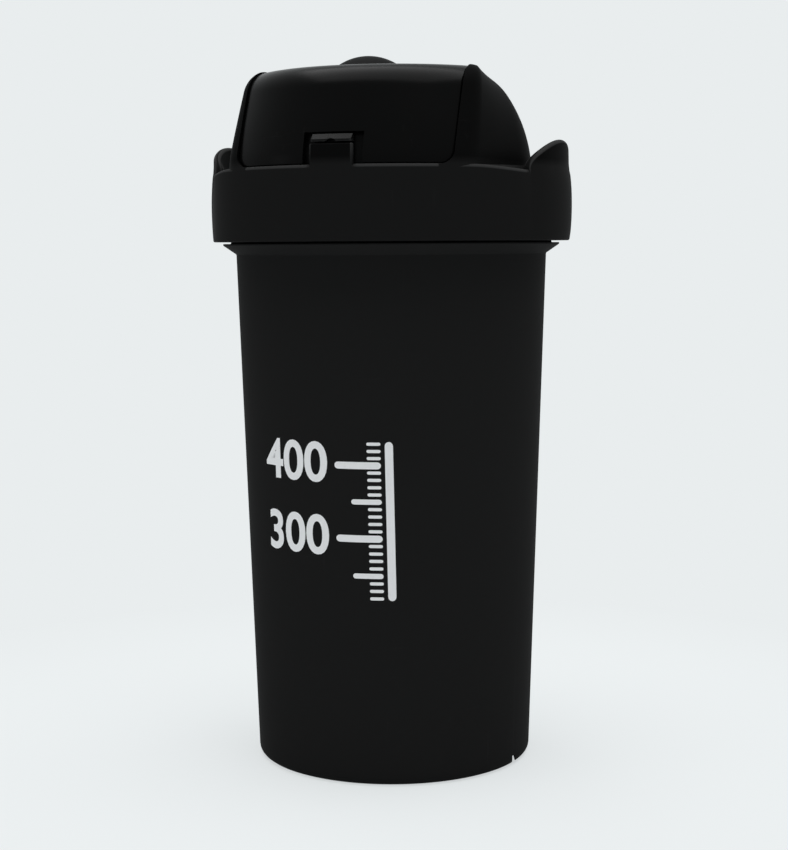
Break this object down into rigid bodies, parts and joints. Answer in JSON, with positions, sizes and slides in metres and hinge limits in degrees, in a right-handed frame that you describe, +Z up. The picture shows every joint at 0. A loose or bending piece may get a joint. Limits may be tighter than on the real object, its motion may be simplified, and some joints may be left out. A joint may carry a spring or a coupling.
{
  "type": "protein shaker bottle",
  "caption": "Tapered black shaker cup with a winged screw lid, a flip cap over a drinking spout, soft seals and a drop-in mixing strainer.",
  "frame": {"origin": "middle of the bottle's base, on the surface that it stands on", "axes": "+Z up along the bottle's axis, -Y towards the latch at the front of the lid, +X towards the right wing"},
  "size_m": [0.1026, 0.101, 0.1978],
  "materials": {
    "cup_plastic": "satin black polypropylene",
    "strainer_plastic": "satin black polypropylene",
    "gasket_rubber": "soft grey silicone",
    "lid_plastic": "satin black polypropylene",
    "pin_steel": "drawn stainless steel",
    "cap_plastic": "gloss black polypropylene",
    "plug_rubber": "soft black elastomer"
  },
  "bodies": {
    "cup": {"cup": "cup_plastic"},
    "strainer": {"strainer": "strainer_plastic"},
    "gasket": {"lid_gasket": "gasket_rubber"},
    "lid": {"lid_body": "lid_plastic", "hinge_pin": "pin_steel"},
    "flip_cap": {"flip_cap": "cap_plastic", "spout_plug": "plug_rubber"}
  },
  "joints": [
    {"name": "strainer_lift", "type": "slide", "parent": "cup", "child": "strainer", "axis": [0, 0, 1], "range_m": [0, 0.06]},
    {"name": "thread_rise", "type": "slide", "parent": "strainer", "child": "gasket", "axis": [0, 0, 1], "range_m": [0, 0.00565]},
    {"name": "lid_turn", "type": "hinge", "parent": "gasket", "child": "lid", "pos_m": [0, 0, 0.1481], "axis": [0, 0, 1], "range_deg": [0, 450]},
    {"name": "flip_hinge", "type": "hinge", "parent": "lid", "child": "flip_cap", "pos_m": [0, 0.0444, 0.1732], "axis": [-1, 0, 0], "range_deg": [0, 120]}
  ],
  "couplings": [
    {"joint": "thread_rise", "follows": "lid_turn", "m_per_rad": 0.0007162}
  ]
}
